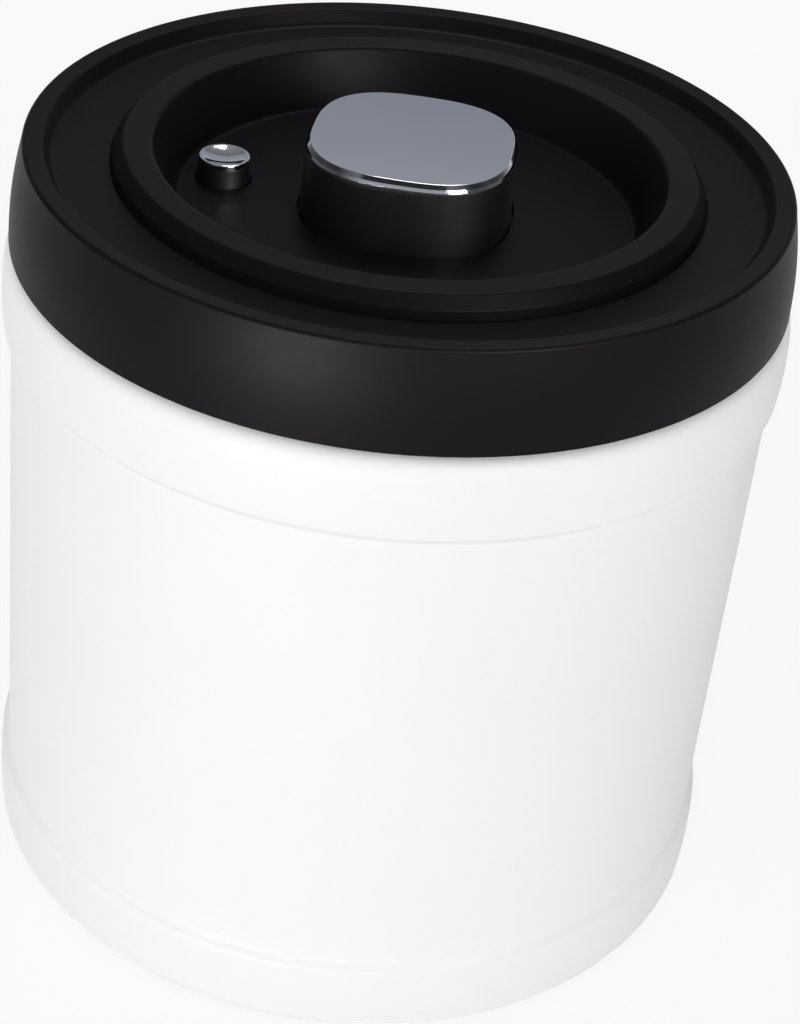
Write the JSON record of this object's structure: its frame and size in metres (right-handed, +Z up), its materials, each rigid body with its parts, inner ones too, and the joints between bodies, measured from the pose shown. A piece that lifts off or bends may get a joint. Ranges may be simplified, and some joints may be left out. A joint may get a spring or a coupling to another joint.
{
  "type": "vacuum food canister",
  "caption": "Round steel food canister with raised bands and a black vacuum lid: a push button pumps the air out and a small release button lets it back in.",
  "frame": {"origin": "centre of the face that rests on the table, on the canister's axis", "axes": "+Z up along the canister's axis; the release button lies towards -X; the push button's flat sides face X and Y"},
  "size_m": [0.128, 0.128, 0.1324],
  "materials": {
    "white_coat": "white satin powder coat",
    "bare_steel": "bare steel",
    "chrome": "bright chrome plate",
    "lid_black": "fine matt black plastic",
    "base_grey": "dark grey plastic",
    "pump_white": "natural white plastic",
    "silicone": "milky silicone"
  },
  "bodies": {
    "canister": {"canister_body": "white_coat", "base_plate": "bare_steel", "foot_pad": "silicone"},
    "lid": {"lid_cover": "lid_black", "lid_base": "base_grey", "lid_gasket": "silicone", "lid_screws": "bare_steel", "pump_cylinder": "pump_white", "cylinder_ring": "silicone", "pump_screws": "bare_steel", "inlet_valve": "silicone", "dust_screen": "base_grey", "pump_spring": "bare_steel", "release_spring": "bare_steel"},
    "push_button": {"button_plate": "chrome", "button_body": "lid_black", "pump_piston": "pump_white", "piston_ring": "silicone", "exhaust_flap": "silicone", "piston_screw": "bare_steel"},
    "release_button": {"release_cap": "chrome", "release_stem": "lid_black", "release_seal": "silicone", "release_clip": "bare_steel"}
  },
  "joints": [
    {"name": "lid_lift", "type": "slide", "parent": "canister", "child": "lid", "axis": [0, 0, 1], "range_m": [0, 0.06]},
    {"name": "pump_press", "type": "slide", "parent": "lid", "child": "push_button", "axis": [0, 0, -1], "range_m": [0, 0.0085], "stiffness_N_per_m": 800, "springref_m": -0.004, "deforming": ["pump_spring"]},
    {"name": "release_press", "type": "slide", "parent": "lid", "child": "release_button", "axis": [0, 0, -1], "range_m": [0, 0.002], "stiffness_N_per_m": 500, "springref_m": -0.004, "deforming": ["release_spring"]}
  ]
}
